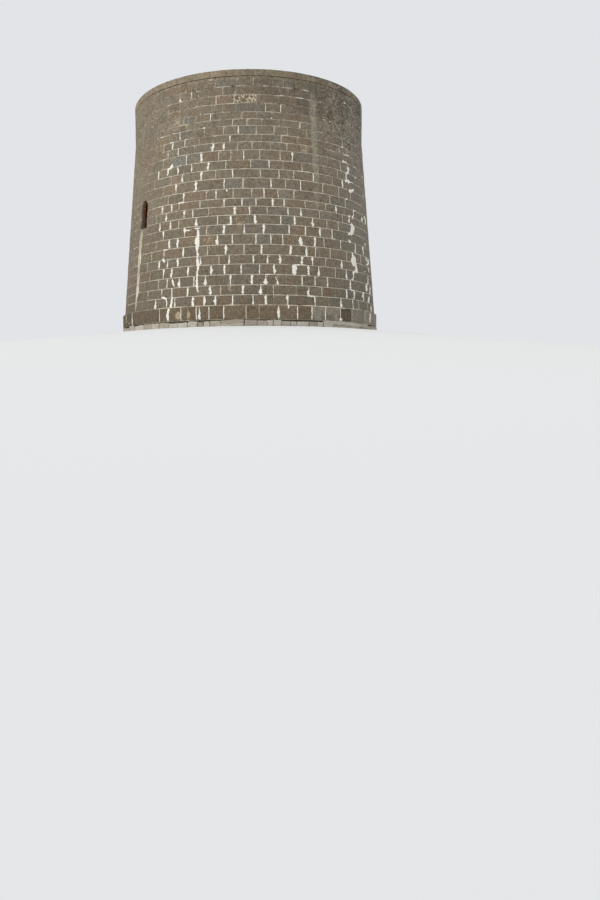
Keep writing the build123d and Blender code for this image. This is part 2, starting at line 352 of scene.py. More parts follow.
def raise_stones(bm, layer, bevel=0.006, proud=PROUD, roughness=0.003, lift=0.007, wander=0.003):
    """Pulls every flat stone forward, rounds its front edges and roughens its face."""
    made = bmesh.ops.extrude_face_region(bm, geom=bm.faces[:])["geom"]
    front = set(only(BMFace, made))
    for vert in only(BMVert, made):
        vert.co.z = proud + (vert[layer][3] - 0.5) * lift
    rim = [e for e in only(BMEdge, made) if sum(f in front for f in e.link_faces) == 1]
    mark_edges(bevelled(bm, rim, bevel), layer)
    roughen(bm, layer, roughness, wander)


def roughen(bm, layer, roughness, wander):
    """Uneven faces, stones that lean a little, and lines that aren't quite straight."""
    for vert in bm.verts:
        x, y, z = vert.co
        own = vert[layer][0] * 90 + vert[layer][3] * 37
        if z > 0:
            lumps = noise.noise((x * 5, y * 5, own)) + 0.6 * noise.noise((x * 13, y * 13, own))
            lean = (vert[layer][0] - 0.5) * noise.noise((x * 0.9, y * 0.9, own))
            vert.co.z += roughness * (lumps + 2 * lean)
        for axis, wall_seed, stone_seed in ((0, 5, own), (1, 9, own + 7)):
            waves = noise.noise((x * 0.8, y * 0.8, wall_seed))
            waves += 0.8 * noise.noise((x * 6, y * 6, stone_seed))
            vert.co[axis] += wander * waves


def block(bm, layer, low, high, cuts=4, stone=None, turn=None):
    """One squared block between two corners, cut up so that its faces can be roughened and bent."""
    low, high = Vector(low), Vector(high)
    size = Matrix.Diagonal((*(high - low), 1))
    place = (turn or Matrix()) @ Matrix.Translation((low + high) / 2)
    made = bmesh.ops.create_cube(bm, size=1, matrix=place @ size)
    colour_verts(made["verts"], layer, stone or random_stone())
    if cuts:
        edges = {e for v in made["verts"] for e in v.link_edges}
        bmesh.ops.subdivide_edges(bm, edges=list(edges), cuts=cuts, use_grid_fill=True)


def round_blocks(bm, layer, bevel, segments=2):
    """Rounds the twelve edges of every block."""
    sharp = [e for e in bm.edges if len(e.link_faces) == 2 and e.calc_face_angle() > 1]
    mark_edges(bevelled(bm, sharp, bevel, segments), layer)


def roughen_blocks(bm, layer, roughness, frequency=5.0):
    """Pushes the surface of every block in and out."""
    bm.normal_update()
    for vert in bm.verts:
        own = vert[layer][0] * 90 + vert[layer][3] * 37
        lumps = noise.noise(vert.co * frequency + Vector((0, 0, own)))
        lumps += 0.5 * noise.noise(vert.co * frequency * 2.7 + Vector((own, 0, 0)))
        vert.co += vert.normal * roughness * lumps


def place_verts(bm, point):
    """Moves every vertex of the flat layout to its place on the tower."""
    for vert in bm.verts:
        vert.co = point(*vert.co)


def spun(corners, steps, closed=True):
    """Joins corners, each a radius and a height, in turn, and spins them round the tower's axis."""
    bm, _ = new_mesh()
    verts = [bm.verts.new((radius, 0, height)) for radius, height in corners]
    following = verts[1:] + verts[:1] if closed else verts[1:]
    edges = [bm.edges.new(ends) for ends in zip(verts, following)]
    bmesh.ops.spin(bm, geom=verts + edges, cent=(0, 0, 0), axis=(0, 0, 1), angle=2 * pi, steps=steps,
                   use_merge=True)
    bmesh.ops.remove_doubles(bm, verts=bm.verts, dist=1e-5)
    bmesh.ops.recalc_face_normals(bm, faces=bm.faces)
    return bm


def in_scene(name, data):
    """A new object in the scene."""
    made = bpy.data.objects.new(name, data)
    bpy.context.scene.collection.objects.link(made)
    return made


def mesh_object(bm, name, finish):
    """Turns a bmesh into a smooth object with a finish."""
    mesh = bpy.data.meshes.new(name)
    bm.to_mesh(mesh)
    bm.free()
    mesh.shade_smooth()
    mesh.materials.append(finish)
    return in_scene(name, mesh)


def finished(bm, name, finish, sharp=35):
    """Turns a bmesh into a piece that rides on the tower."""
    bm.normal_update()
    piece = mesh_object(bm, name, finish)
    piece.data.set_sharp_from_angle(angle=radians(sharp))
    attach(piece, "root")
    return piece


# Finishes

class Value:
    """A socket of a finish. Arithmetic on it adds Math nodes."""

    def __init__(self, finish, socket):
        self.finish = finish
        self.socket = socket

    def maths(self, operation, *others):
        inputs = {number: other for number, other in enumerate((self, *others))}
        return self.finish.node("ShaderNodeMath", {"operation": operation}, inputs)

    def __add__(self, other):
        return self.maths("ADD", other)

    def __sub__(self, other):
        return self.maths("SUBTRACT", other)

    def __mul__(self, other):
        return self.maths("MULTIPLY", other)

    def __truediv__(self, other):
        return self.maths("DIVIDE", other)

    def __rsub__(self, other):
        return self.finish.node("ShaderNodeMath", {"operation": "SUBTRACT"}, {0: other, 1: self})

    def __abs__(self):
        return self.maths("ABSOLUTE")

    __radd__ = __add__
    __rmul__ = __mul__


class Finish:
    """A material, or the world, and the nodes that make it."""

    def __init__(self, name=None, tree=None):
        if tree is None:
            self.material = bpy.data.materials.new(name)
            self.material.use_nodes = True
            tree = self.material.node_tree
        self.tree = tree
        tree.nodes.clear()
        if name:
            self.place = self.node("ShaderNodeTexCoord", output="Object")

    def node(self, kind, settings=None, inputs=None, output=0):
        """Adds one node, sets it, joins its inputs, and gives back one of its outputs."""
        made = self.tree.nodes.new(kind)
        for key, value in (settings or {}).items():
            setattr(made, key, value)
        for key, value in (inputs or {}).items():
            if isinstance(value, Value):
                self.tree.links.new(value.socket, made.inputs[key])
            else:
                made.inputs[key].default_value = value
        return Value(self, made.outputs[output]) if len(made.outputs) else made

    def parts(self, vector):
        split = self.node("ShaderNodeSeparateXYZ", inputs={0: vector})
        return [Value(self, output) for output in split.socket.node.outputs]

    def stone(self):
        """Shade, tint and edge of the stone that is there."""
        return self.parts(self.node("ShaderNodeAttribute",
                                    {"attribute_type": "GEOMETRY", "attribute_name": "stone"}))

    def joined(self, x, y, z):
        return self.node("ShaderNodeCombineXYZ", inputs={0: x, 1: y, 2: z})

    def noise(self, size, detail=3.0, roughness=0.55, warp=0.0, place=None):
        """Cloudy noise from 0 to 1, whose lumps are about the given size in metres."""
        return self.node("ShaderNodeTexNoise", {"noise_dimensions": "3D"},
                         {"Vector": place or self.place, "Scale": 1 / size, "Detail": detail,
                          "Roughness": roughness, "Distortion": warp})

    def between(self, value, low, high):
        """0 below low and 1 above high, or the other way round where low is the greater."""
        flip = low > high
        return self.node("ShaderNodeMapRange", {"interpolation_type": "SMOOTHSTEP", "clamp": True},
                         {0: value, 1: min(low, high), 2: max(low, high), 3: float(flip), 4: float(not flip)})

    def blend(self, first, second, mask):
        """Goes from the first colour to the second as the mask goes from 0 to 1."""
        return self.node("ShaderNodeMix", {"data_type": "RGBA"}, {0: mask, 6: first, 7: second}, output=2)

    def shaded(self, colour, amount):
        return self.node("ShaderNodeVectorMath", {"operation": "SCALE"}, {0: colour, "Scale": amount})

    def bump(self, height, distance, strength=1.0, under=None):
        inputs = {"Height": height, "Distance": distance, "Strength": strength}
        if under:
            inputs["Normal"] = under
        return self.node("ShaderNodeBump", inputs=inputs)

    def bond(self, place, length, height, colours, softness):
        """Bricks or flags in half bond. The colours are those of two bricks and of the mortar."""
        first, second, joint = colours
        return self.node("ShaderNodeTexBrick", {"offset": 0.5, "squash": 1.0},
                         {"Vector": place, "Color1": first, "Color2": second, "Mortar": joint, "Scale": 1.0,
                          "Mortar Size": 0.012, "Mortar Smooth": softness, "Bias": 0.0, "Brick Width": length,
                          "Row Height": height})

    def surface(self, colour, roughness, normal, specular=0.3):
        shader = self.node("ShaderNodeBsdfPrincipled",
                           inputs={"Base Color": colour, "Roughness": roughness, "Normal": normal,
                                   "Specular IOR Level": specular})
        self.node("ShaderNodeOutputMaterial", inputs={"Surface": shader})
        return self.material


def srgb(red, green, blue):
    """A colour given as it looks on a screen, from 0 to 255."""
    shares = [c / 255 for c in (red, green, blue)]
    straight = [s / 12.92 if s <= 0.04045 else ((s + 0.055) / 1.055) ** 2.4 for s in shares]
    return (*straight, 1.0)


def round_from_front(finish, x, y):
    """Degrees round from the middle of the front."""
    ahead = x * cos(FRONT) + y * sin(FRONT)
    aside = y * cos(FRONT) - x * sin(FRONT)
    return aside.maths("ARCTAN2", ahead) * degrees(1)


def distance(x, y):
    """How far two values reach together, as the sides of a square corner."""
    return (x * x + y * y).maths("SQRT")


PLANK_WIDTH = 0.19
TAUPE = srgb(128, 116, 98)
BLUE_GREY = srgb(124, 116, 102)
BROWN = srgb(131, 115, 95)
LICHEN = srgb(158, 151, 132)
DAMP = srgb(84, 78, 68)
RUN_OFF = srgb(160, 153, 135)
LIME = srgb(252, 245, 224)
DIRTY_LIME = srgb(146, 134, 114)
FRESH_LIME = srgb(250, 246, 232)


def towards(finish, angle, start, full):
    """0 at the start angle, 1 from the full one on, and back to 0 on the far side of the tower."""
    return finish.between(angle, start, full) * finish.between(abs(angle), 168, 115)


def speckled(finish, angle, height, at, up, reach):
    """A round spot on the wall: 1 in its middle and 0 beyond its reach, in metres."""
    aside = (angle - at) * radians(LAYOUT_RADIUS)
    above = height - up
    return finish.between(distance(aside, above), reach, reach * 0.4)


def depth_in_wall(height, radius):
    """How far behind the wall's battered face a place is, in metres."""
    batter = (WALL_FOOT_RADIUS - WALL_HEAD_RADIUS) / (WALL_HEAD - WALL_FOOT)
    return WALL_FOOT_RADIUS + WALL_FOOT * batter - height * batter - radius


def weathered_stone(finish, base, other, warm):
    """Colour and normal of the tower's stone: a shade for each stone, grain, lichen, damp and run-off, with
    painted shade at the stones' edges and in the reveals, and painted light on the left and right sides.
    """
    x, y, height = finish.parts(finish.place)
    angle = round_from_front(finish, x, y)
    shade, tint, edge = finish.stone()
    clouds = finish.noise(0.55, 4)
    speckle = finish.noise(0.13, 6, 0.82)
    crystals = finish.noise(0.014, 3, 0.6)
    grain = finish.noise(0.042, 3, 0.7)

    left = towards(finish, angle, 0, -55)
    right = towards(finish, angle, 22, 52)
    high = finish.between(height, 5.0, 9.5)
    radius = distance(x, y)
    outside = finish.between(radius, 5.3, 5.6)
    colour = finish.blend(base, other, finish.between(tint, 0.75, 0.98) * (1 - left * 0.6))
    colour = finish.blend(colour, srgb(124, 122, 113), finish.between(tint, 1.0, 1.4) * 0.8)
    colour = finish.blend(colour, warm, finish.between(tint, 0.26, 0.06))
    tone_and_painted_light = 0.945 + shade * 0.16 + (clouds - 0.5) * 0.26 + (speckle - 0.5) * 2.3 + (crystals - 0.5) * 0.5
    tone_and_painted_light = tone_and_painted_light + (grain - 0.5) * 2.5
    tone_and_painted_light = tone_and_painted_light * (0.86 + finish.between(height, 0.6, 4.2) * 0.14)
    # Painted shade: each stone darker at its rounded edges, along the joints.
    tone_and_painted_light = tone_and_painted_light * (1 - finish.between(edge, 0.55, 1.0) * 0.13)
    # Painted light: the stone a little lighter towards the right side, and lighter up on the sunlit left
    # side.
    tone_and_painted_light = tone_and_painted_light * (1 + towards(finish, angle, 0, 25) * 0.03 + towards(finish, angle, 25, 60) * 0.07)
    tone_and_painted_light = tone_and_painted_light * (1 + left * finish.between(height, 4.0, 6.0) * 0.12)
    # Painted shade: stone darker where it lies behind the wall's face, in the reveals of the openings.
    reveal_shade = finish.between(depth_in_wall(height, radius), 0.02, 0.12) * finish.between(height, 8.5, 8.0)
    tone_and_painted_light = tone_and_painted_light * (1 - reveal_shade * 0.25)

    flecks = finish.noise(0.20, 6, 0.75)
    spread = 0.25 + left * 0.30 + high * 0.25
    colour = finish.blend(colour, LICHEN, finish.between(flecks, 0.58, 0.74) * spread)
    haze = finish.between(edge, 0.75, 1.0) * finish.between(finish.noise(0.16, 3), 0.42, 0.62)
    colour = finish.blend(colour, LIME, haze * 0.22)
    spots = speckled(finish, angle, height, -4.0, 4.58, 0.26)
    for at, up, reach in ((-7.5, 1.70, 0.24), (-17.5, 3.90, 0.30), (25.0, 7.85, 0.26), (30.0, 5.45, 0.16)):
        spots = spots.maths("MAXIMUM", speckled(finish, angle, height, at, up, reach))
    spots = spots * outside * finish.between(speckle + grain, 0.94, 1.16)
    colour = finish.blend(colour, srgb(204, 180, 144), spots * 0.72)

    colour = finish.blend(colour, srgb(122, 118, 110), towards(finish, angle, 25, 60) * 0.45)
    foot = finish.between(height, 0.91, 0.87)
    dim_foot = towards(finish, angle, -10, -20) * 0.11 + towards(finish, angle, -55, -61) * 0.22
    tone_and_painted_light = tone_and_painted_light * (1 - foot * dim_foot)
    pale_foot = foot * finish.between(angle, 24.8, 25.4) * finish.between(angle, 105, 80)
    colour = finish.blend(colour, srgb(128, 110, 85), (foot - pale_foot) * 0.5)
    washed = pale_foot * finish.between(finish.noise(0.4, 4), 0.36, 0.56)
    colour = finish.blend(colour, srgb(144, 137, 120), pale_foot * finish.between(angle, 31.8, 31.2) * 0.6)
    colour = finish.blend(colour, srgb(172, 163, 147), washed * finish.between(angle, 39.6, 39.2) * 0.6)
    dark_stone = finish.between(angle, 39.2, 39.6) * finish.between(angle, 46.9, 46.4)
    colour = finish.blend(colour, srgb(92, 80, 64), pale_foot * dark_stone * 0.6)
    colour = finish.blend(colour, srgb(151, 145, 132), pale_foot * finish.between(angle, 46.4, 46.9) * 0.65)
    soft_haze = speckled(finish, angle, height, -34.3, 9.15, 0.45) * finish.between(speckle, 0.40, 0.60)
    colour = finish.blend(colour, srgb(196, 186, 164), soft_haze * outside * 0.45)
    stain = speckled(finish, angle, height, 40.8, 9.58, 0.34)
    colour = finish.blend(colour, srgb(80, 76, 54), stain * outside * 0.6)
    damp = finish.between(finish.noise(0.9, 4), 0.35, 0.70) * finish.between(height, 8.2, 10.2)
    colour = finish.blend(colour, DAMP, damp * towards(finish, angle, -10, 36) * outside * 0.72)
    crust = right * finish.between(height, 6.8, 9.0) * outside
    colour = finish.blend(colour, srgb(78, 66, 50), crust * finish.between(flecks, 0.50, 0.40) * 0.68)
    specks = finish.between(grain, 0.57, 0.66) * finish.between(speckle, 0.44, 0.56)
    colour = finish.blend(colour, srgb(232, 226, 208), crust * specks * 0.85)
    drawn = finish.noise(1.0, 4, 0.6, place=finish.joined(x * 7.0, y * 7.0, height * 0.5))
    tone_and_painted_light = tone_and_painted_light * (1 + (drawn - 0.5) * finish.between(height, 6.8, 9.0) * 0.5)

    wander = (finish.noise(0.5, 3) - 0.5) * 2.2
    from_middle = abs(angle + wander - 30.4)
    streak = finish.between(from_middle, 2.3, 0.7) * finish.between(height, 4.8, 7.2) * outside
    streak = streak * finish.between(height, 10.7, 9.8) * (0.40 + finish.noise(0.12, 4, 0.7) * 0.6)
    colour = finish.blend(colour, RUN_OFF, streak)
    colour = finish.shaded(colour, tone_and_painted_light)
    normal = finish.bump(clouds * 0.5 + speckle, 0.012, 0.6)
    normal = finish.bump(crystals, 0.003, 0.6, under=normal)
    return colour, normal


def ashlar_finish():
    finish = Finish("weathered ashlar")
    colour, normal = weathered_stone(finish, TAUPE, BLUE_GREY, BROWN)
    return finish.surface(colour, 0.9, normal)


def coping_finish():
    finish = Finish("weathered coping")
    colour, normal = weathered_stone(finish, srgb(144, 130, 108), srgb(137, 125, 107), srgb(149, 131, 105))
    moss = finish.between(finish.noise(0.30, 5, 0.65), 0.50, 0.66)
    colour = finish.blend(colour, srgb(118, 106, 80), moss * 0.35)
    return finish.surface(colour, 0.92, normal)


def lime_finish(name, clean, dirty, dirt, age=0.0, thin=0.0):
    """Lime mortar: pale where rain keeps it clean, darker towards the top and the left, and with age. Up on
    the shaded right side it is darker too, as painted shade.

    Where it is thin, the stone shows through at its edges. Deep in the slits' embrasures it is painted dark,
    as painted shade.
    """
    finish = Finish(name)
    x, y, height = finish.parts(finish.place)
    angle = round_from_front(finish, x, y)
    patches = finish.noise(0.6, 4)
    grit = finish.noise(0.02, 3, 0.6)
    flecks = finish.noise(0.11, 5, 0.75)
    left = towards(finish, angle, -34, -56)
    high = finish.between(height, 6.4, 9.8)
    # Painted shade: the lime darker up on the shaded right side, on top of its dirt.
    shaded_side = towards(finish, angle, 15, 45) * high
    dirt_and_shade = patches + (flecks - 0.5) * 0.5 + age + high * 0.17 + left * 0.16 + shaded_side * 0.10
    dirt_and_shade = finish.between(dirt_and_shade, 0.48, 0.80) * dirt
    colour = finish.blend(clean, dirty, dirt_and_shade)
    if thin:
        middle = finish.stone()[2]
        colour = finish.blend(colour, TAUPE, finish.between(middle + (flecks - 0.5) * 2.2, 0.80, 0.10) * thin)
    colour = finish.shaded(colour, 0.88 + grit * 0.24 + (patches - 0.5) * 0.2)
    # Painted shade: a dark brick brown deep in the slits' embrasures, where little light reaches.
    deep = finish.between(depth_in_wall(height, distance(x, y)), 0.14, 0.22)
    embrasure_shade = deep * finish.between(abs(y), 0.62, 0.56) * finish.between(height, 6.6, 6.4)
    colour = finish.blend(colour, srgb(74, 46, 36), embrasure_shade * 0.95)
    normal = finish.bump(finish.noise(0.05, 4, 0.6), 0.006, 0.7)
    normal = finish.bump(grit, 0.002, 0.5, under=normal)
    return finish.surface(colour, 0.95, normal, 0.2)


def open_joint_finish():
    finish = Finish("open joint")
    # Painted shade: dark strips that stand in for the shadow in the open joints' gaps, with a crumbly
    # texture.
    crumbs = finish.noise(0.03, 4)
    colour = finish.blend(srgb(52, 46, 38), srgb(84, 75, 60), finish.between(crumbs, 0.4, 0.7))
    return finish.surface(colour, 0.98, finish.bump(crumbs, 0.006), 0.1)


def footing_finish():
    finish = Finish("pale rough stone")
    shade, tint, _ = finish.stone()
    clouds = finish.noise(0.18, 5, 0.6)
    grains = finish.noise(0.015, 3, 0.6)
    colour = finish.blend(srgb(190, 184, 170), srgb(170, 160, 143), finish.between(tint, 0.3, 0.8))
    colour = finish.blend(colour, srgb(124, 118, 103), finish.between(clouds, 0.54, 0.74) * 0.7)
    lichen = finish.between(finish.noise(0.05, 4, 0.6), 0.62, 0.72)
    colour = finish.blend(colour, srgb(188, 184, 170), lichen * 0.6)
    colour = finish.shaded(colour, 0.90 + shade * 0.3 + (grains - 0.5) * 0.4)
    normal = finish.bump(clouds, 0.014, 0.8)
    return finish.surface(colour, 0.93, finish.bump(grains, 0.003, 0.6, under=normal), 0.25)


def rubble_finish():
    finish = Finish("small mixed stones")
    shade, tint, _ = finish.stone()
    grains = finish.noise(0.02, 3, 0.6)
    colour = finish.blend(srgb(126, 112, 91), srgb(152, 136, 112), finish.between(tint, 0.05, 0.6))
    colour = finish.blend(colour, srgb(250, 236, 210), finish.between(shade, 0.30, 0.75))
    colour = finish.shaded(colour, 0.8 + grains * 0.4)
    return finish.surface(colour, 0.93, finish.bump(grains, 0.003, 0.6), 0.25)


def footing_bed_finish():
    finish = Finish("earth and lime packing")
    lumps = finish.noise(0.06, 4, 0.6)
    colour = finish.blend(srgb(84, 76, 62), srgb(122, 113, 96), finish.between(lumps, 0.4, 0.7))
    return finish.surface(colour, 0.97, finish.bump(lumps, 0.015), 0.15)


def brick_finish():
    finish = Finish("old red brick")
    shade, tint, _ = finish.stone()
    fired = finish.noise(0.05, 4, 0.6)
    # Painted light: the bricks are coloured lighter than their own red, to make up for the little light in
    # the slits.
    colour = finish.blend(srgb(168, 88, 64), srgb(124, 64, 50), finish.between(tint, 0.3, 0.9))
    colour = finish.blend(colour, srgb(180, 118, 72), finish.between(fired, 0.56, 0.72) * 0.6)
    colour = finish.shaded(colour, 0.80 + shade * 0.4 + (fired - 0.5) * 0.3)
    normal = finish.bump(finish.noise(0.008, 3), 0.002, 0.7)
    return finish.surface(colour, 0.9, finish.bump(fired, 0.005, 0.5, under=normal), 0.25)


def vault_finish():
    """Brick rings under the vault, and rough lime over it."""
    finish = Finish("vault brick")
    x, y, _ = finish.parts(finish.place)
    along = y.maths("ARCTAN2", x) * 2.4
    bond = finish.bond(finish.joined(along, distance(x, y), 0.0), 0.225, 0.075,
                       (srgb(136, 70, 52), srgb(108, 58, 46), srgb(168, 158, 138)), 0.2)
    soot = finish.noise(0.5, 4)
    colour = finish.shaded(bond, 0.75 + soot * 0.4)
    grain = finish.noise(0.012, 3)
    return finish.surface(colour, 0.92, finish.bump(grain + soot, 0.004), 0.2)


def plank_finish():
    finish = Finish("bare planks")
    x, y, _ = finish.parts(finish.place)
    board = (x / PLANK_WIDTH).maths("FLOOR")
    across = (x / PLANK_WIDTH).maths("FRACT")
    own = finish.node("ShaderNodeTexWhiteNoise", {"noise_dimensions": "1D"}, {"W": board})
    grain = finish.noise(1.0, 5, 0.6, 0.6, place=finish.joined(x * 14.0, y * 0.9 + own * 30.0, board * 3.0))
    colour = finish.blend(srgb(122, 98, 70), srgb(84, 66, 48), finish.between(grain, 0.38, 0.66))
    colour = finish.shaded(colour, 0.75 + own * 0.4)
    # Painted shade: the boards near black at their edges, in the gaps between them.
    gap = finish.between(abs(across - 0.5), 0.485, 0.47)
    colour = finish.blend(srgb(30, 24, 18), colour, gap)
    return finish.surface(colour, 0.8, finish.bump(grain * 0.3 + gap, 0.004), 0.3)


def floor_flag_finish():
    finish = Finish("store floor flags")
    bond = finish.bond(finish.place, 0.8, 0.5,
                       (srgb(128, 120, 106), srgb(108, 101, 90), srgb(70, 64, 54)), 0.3)
    worn = finish.noise(0.25, 5, 0.6)
    return finish.surface(finish.shaded(bond, 0.7 + worn * 0.5), 0.85, finish.bump(worn, 0.006), 0.3)


ashlar = ashlar_finish()
coping_stone = coping_finish()
mortar = lime_finish("lime mortar", LIME, DIRTY_LIME, 0.97)
old_mortar = lime_finish("weathered lime mortar", srgb(128, 117, 98), srgb(104, 95, 78), 1.0)
fresh_lime = lime_finish("run-out lime", FRESH_LIME, srgb(212, 204, 182), 0.45)
fillet_lime = lime_finish("lime on the plinth", srgb(236, 226, 202), srgb(138, 126, 106), 0.97, 0.10)
dull_lime = lime_finish("weathered run-out lime", srgb(222, 210, 186), srgb(164, 151, 129), 0.8)
washed_lime = lime_finish("wash below the slit", srgb(240, 228, 205), srgb(184, 171, 149), 0.9,
                          thin=0.85)
patching = lime_finish("patching mortar", srgb(182, 165, 140), srgb(150, 134, 110), 0.8)
joint_shadow = open_joint_finish()
footing_stone = footing_finish()
rubble = rubble_finish()
packing = footing_bed_finish()
brick = brick_finish()

# Finishes of the solids. The other solids are lime mortar, seen between the stones and in the rooms.
DRESS = {"vault": vault_finish(), "upper_room_floor": plank_finish(), "ground_floor": floor_flag_finish(),
         "gun_platform": packing, "door_lintel": ashlar}
for name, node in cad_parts.items():
    node.data.materials.clear()
    node.data.materials.append(DRESS.get(name, mortar))

# How the courses are divided

def read_joints(words):
    return [(float(word[:-1]), word[-1]) for word in words.split()]


def split_long(joints, longest=13.0, usual=8.0):
    """Adds joints where a stone of the front would be far longer than its neighbours."""
    done = [joints[0]]
    for joint in joints[1:]:
        gap = joint[0] - done[-1][0]
        if gap > longest:
            stones = round(gap / usual)
            start = done[-1][0]
            for stone in range(1, stones):
                done.append((start + gap * (stone + chance.uniform(-0.18, 0.18)) / stones, "f"))
        done.append(joint)
    return done


def far_side(first, last, below):
    """Joints from the last one of the front round the back to the first one, bonded with the course below."""
    gap = first + 360 - last
    lengths = [chance.uniform(0.65, 1.35) for _ in range(round(gap / 7.4))]
    where = last
    found = []
    for length in lengths[:-1]:
        where += gap * length / sum(lengths)
        near = [b for b in below if abs(turn_between(b, where)) < 1.5]
        shifted = where + (1.7 if near and chance.random() < 0.5 else -1.7 if near else 0)
        angle = turn_between(shifted)
        mark = chance.choices("wbtcvudmf", (4, 4, 2, 1, 5, 5, 8, 10, 12))[0]
        found.append((angle, "f" if abs(angle) < 80 else mark))
    return found


def keep_clear(joints, centre, reach, edges):
    """Takes the joints near an opening out, and puts its own edges in."""
    kept = [j for j in joints if abs(turn_between(j[0], centre)) > reach]
    return kept + [(turn_between(centre + edge), "f") for edge in edges]


def opening_half(course, name):
    """Half the width in degrees that an opening takes from a course, or nothing."""
    middle = (BEDS[course] + BEDS[course + 1]) / 2
    if name in SLITS and SLIT_SILL_BED <= course <= SLIT_SILL_BED + 2:
        return degrees(asin(SLIT_HALF_WIDTH / face_radius(middle)))
    if name == "door" and DOOR_BEDS[0] <= course < DOOR_BEDS[1]:
        return degrees(asin(DOOR_HALF_WIDTH / face_radius(middle)))
    return 0


# The stones over and under a slit: half their width, and how far off the next joint is at least, in degrees
SINGLE_STONES = {SLIT_SILL_BED + 3: (4.6, 6.5), SLIT_SILL_BED - 1: (4.4, 6.0)}
courses = []
for course, words in enumerate(UPRIGHTS):
    known = read_joints(words)
    front = split_long([j for j in known if j[1].islower()])
    below = [angle for angle, _ in courses[-1]] if courses else []
    joints = front + far_side(front[0][0], front[-1][0], below)
    for name, centre in OPENINGS.items():
        half = opening_half(course, name)
        if half:
            joints = keep_clear(joints, centre, half + 2.0, (-half, half))
        elif name in SLITS and course in SINGLE_STONES:
            half, reach = SINGLE_STONES[course]
            joints = keep_clear(joints, centre, reach, (-half, half))
        elif name == "door" and course == DOOR_BEDS[1]:
            half = degrees(LINTEL_HALF_LENGTH / face_radius(BEDS[course]))
            joints = keep_clear(joints, centre, half + 2.0, (-half, half))
    courses.append(sorted(joints))


def in_opening(course, middle):
    """Whether a stone with this middle would stand in an opening."""
    for name, centre in OPENINGS.items():
        half = opening_half(course, name)
        if half and abs(turn_between(middle, centre)) < half:
            return True
    return False


def beside_opening(course, left, right):
    """Whether a stone shows its end inside an opening."""
    for name, centre in OPENINGS.items():
        half = opening_half(course, name)
        if half:
            for edge in (-half, half):
                for end in (left, right):
                    if abs(turn_between(end - centre, edge)) < 0.05:
                        return name, centre, edge
    return None


RUBBLE_COURSE = 23
RUBBLE = (-6.4, 3.6)
HEAD_RADIUS = layout_half(SLIT_HALF_WIDTH, SLIT_SPRING) - INTO_OPENING


def bay_of(angle):
    """The bay of 30 degrees that an angle is in. The first is over +X."""
    return int(((angle + degrees(FRONT) + 15) % 360) // 30)


def head_points(start, end, steps):
    """Points of a slit's half-round head, from one angle to another, about the middle of the slit."""
    turns = [radians(start + (end - start) * step / steps) for step in range(steps + 1)]
    return [(HEAD_RADIUS * cos(t), SLIT_SPRING + HEAD_RADIUS * sin(t)) for t in turns]


def course_levels(course):
    """Foot and head of the stones of a course."""
    return BEDS[course] + JOINT / 2, BEDS[course + 1] - JOINT / 2


def haunch_stone(bm, layer, centre, end, side):
    """The stone beside a slit that the start of its round head is cut into. Side is -1 left and 1 right."""
    low, high = course_levels(SLIT_SILL_BED + 2)
    top = degrees(asin((high - SLIT_SPRING) / HEAD_RADIUS))
    outline = [(HEAD_RADIUS, low), (end, low), (end, high), *head_points(top, 0, 6)]
    slit_stone(bm, layer, centre, [(side * x, y) for x, y in outline][::side])


def head_stone(bm, layer, centre, half):
    """The stone over a slit, with the crown of the round head cut into it."""
    low, high = course_levels(SLIT_SILL_BED + 3)
    start = degrees(asin((low - SLIT_SPRING) / HEAD_RADIUS))
    outline = [(-half, low), *head_points(180 - start, start, 8), (half, low), (half, high), (-half, high)]
    slit_stone(bm, layer, centre, outline, cuts=8)


def sill_stone(bm, layer, centre, half):
    """The stone under a slit, cut down to the sill between the jambs."""
    low, high = course_levels(SLIT_SILL_BED - 1)
    cut = layout_half(SLIT_HALF_WIDTH, high) - INTO_OPENING
    sill = SLIT_SILL + 0.004
    outline = [(-half, low), (half, low), (half, high), (cut, high), (cut, sill), (-cut, sill), (-cut, high),
               (-half, high)]
    slit_stone(bm, layer, centre, outline, cuts=8)


# Stones with a colour of their own: the course, an angle on the stone, its shade and its tint
OWN_STONES = [(16, -32, 0.6, 1.35), (21, -27, 0.4, 1.2), (19, -0.5, 0.5, 1.12)]


def own_stone(course, left, right):
    """Shade, tint, edge and lift of a stone that differs from its neighbours, or nothing."""
    for row, angle, shade, tint in OWN_STONES:
        if row == course and left < angle < right:
            return (shade, tint, 0.0, 0.5)
    return None


def half_gap(mark):
    """Half the width of an upright joint."""
    return (TIGHT_JOINT if mark == "f" else JOINT) / 2


def wall_stone(bays, course, left, right, start, end):
    """One stone of a course, in the bay that its middle is in. An opening's own stones are cut to it.

    Left and right are angles, and start and end are the stone's ends in the layout.
    """
    middle = (left + right) / 2
    if in_opening(course, middle) or (course == RUBBLE_COURSE and RUBBLE[0] <= left and right <= RUBBLE[1]):
        return
    bm, layer = bays[bay_of(middle)]
    beside = beside_opening(course, left, right)
    slit_here = [centre for centre in SLITS.values() if abs(turn_between(middle, centre)) < 0.5]
    if beside and beside[0] in SLITS and course == SLIT_SILL_BED + 2:
        side = 1 if beside[2] > 0 else -1
        away = abs(turn_between(right if side > 0 else left, beside[1]))
        haunch_stone(bm, layer, beside[1], layout_x(away) - JOINT / 2, side)
    elif slit_here and course == SLIT_SILL_BED + 3:
        head_stone(bm, layer, slit_here[0], (end - start) / 2)
    elif slit_here and course == SLIT_SILL_BED - 1:
        sill_stone(bm, layer, slit_here[0], (end - start) / 2)
    else:
        if beside and beside[2] > 0:
            start = layout_x(left) - INTO_OPENING
        elif beside:
            end = layout_x(right) + INTO_OPENING
        grid_stone(bm, layer, start, end, *course_levels(course), -SLIT_REVEAL if beside else -SUNK,
                   stone=own_stone(course, left, right))


